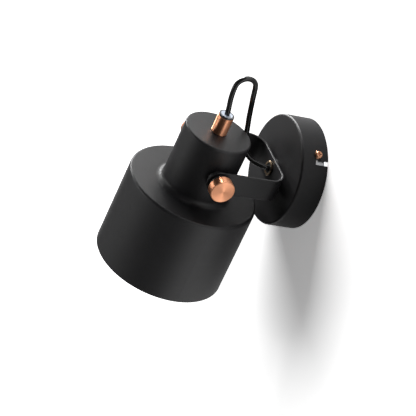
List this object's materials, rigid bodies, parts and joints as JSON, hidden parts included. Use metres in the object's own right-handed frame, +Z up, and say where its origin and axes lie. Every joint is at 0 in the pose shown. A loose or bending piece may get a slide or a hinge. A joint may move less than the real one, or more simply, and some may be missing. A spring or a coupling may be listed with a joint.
{
  "type": "pivoting wall spotlight",
  "caption": "Wall spotlight with a stepped drum shade that tilts in a U bracket, which swivels on a round canopy; screw-in lamp socket.",
  "frame": {"origin": "on the wall, behind the middle of the canopy, midway between the wall screw slots", "axes": "+Z up, +Y into the wall, so that the lamp stands out along -Y; +X to the right seen from the room"},
  "size_m": [0.199, 0.1552, 0.1722],
  "materials": {
    "black_paint": "fine matt powder coat",
    "zinc_plate": "bright zinc plate",
    "copper": "satin copper plate",
    "bronze": "dark bronze plate",
    "brass": "bare brass",
    "black_plastic": "moulded nylon",
    "black_metal": "satin paint",
    "white_plastic": "moulded",
    "pale_plastic": "clear grip ring",
    "porcelain": "unglazed top, glazed sides",
    "cable_sheath": "smooth satin sheath",
    "brown_core": "smooth",
    "blue_core": "smooth",
    "earth_core": "green with yellow stripe"
  },
  "bodies": {
    "base": {"canopy": "black_paint", "mounting_strap": "zinc_plate", "side_screws": "copper", "earth_screw": "brass", "earth_lug": "zinc_plate", "terminal_block": "white_plastic", "terminal_barrels": "brass", "terminal_screws": "zinc_plate", "block_screw": "zinc_plate", "swivel_tube": "bronze", "swivel_spacer": "black_plastic", "swivel_washer": "zinc_plate", "swivel_nut": "zinc_plate", "cable_bush": "black_plastic", "cable_tail": "cable_sheath", "live_core": "brown_core", "neutral_core": "blue_core", "earth_core": "earth_core"},
    "bracket": {"bracket": "black_paint", "shoulder_bushes": "black_plastic", "cable": "cable_sheath"},
    "shade": {"shade": "black_paint", "saddle_spacers": "black_plastic", "neck_inserts": "zinc_plate", "cord_grip": "copper", "grip_collet": "pale_plastic", "grip_washer": "zinc_plate", "grip_nut": "zinc_plate", "shade_cable": "cable_sheath", "holder_cap": "black_metal", "contact_base": "porcelain", "contact_plates": "brass", "contact_screws": "zinc_plate", "centre_contact": "brass", "screw_shell": "brass", "holder_skirt": "black_plastic", "shade_live_core": "brown_core", "shade_neutral_core": "blue_core", "shade_earth_core": "earth_core"},
    "right_knob": {"right_knob": "copper", "right_stud": "zinc_plate"},
    "left_knob": {"left_knob": "copper", "left_stud": "zinc_plate"}
  },
  "joints": [
    {"name": "bracket_swivel", "type": "hinge", "parent": "base", "child": "bracket", "pos_m": [0, -0.03, 0], "axis": [0, 1, 0], "range_deg": [-224, 116]},
    {"name": "shade_tilt", "type": "hinge", "parent": "bracket", "child": "shade", "pos_m": [0, -0.0945, 0], "axis": [-0.5878, 0, 0.809], "range_deg": [-8, 90], "deforming": ["cable"]},
    {"name": "right_knob_turn", "type": "hinge", "parent": "shade", "child": "right_knob", "pos_m": [0.02704, -0.0945, -0.03721], "axis": [0.5878, 0, -0.809], "range_deg": [0, 180]},
    {"name": "left_knob_turn", "type": "hinge", "parent": "shade", "child": "left_knob", "pos_m": [-0.02704, -0.0945, 0.03721], "axis": [-0.5878, 0, 0.809], "range_deg": [0, 180]}
  ]
}
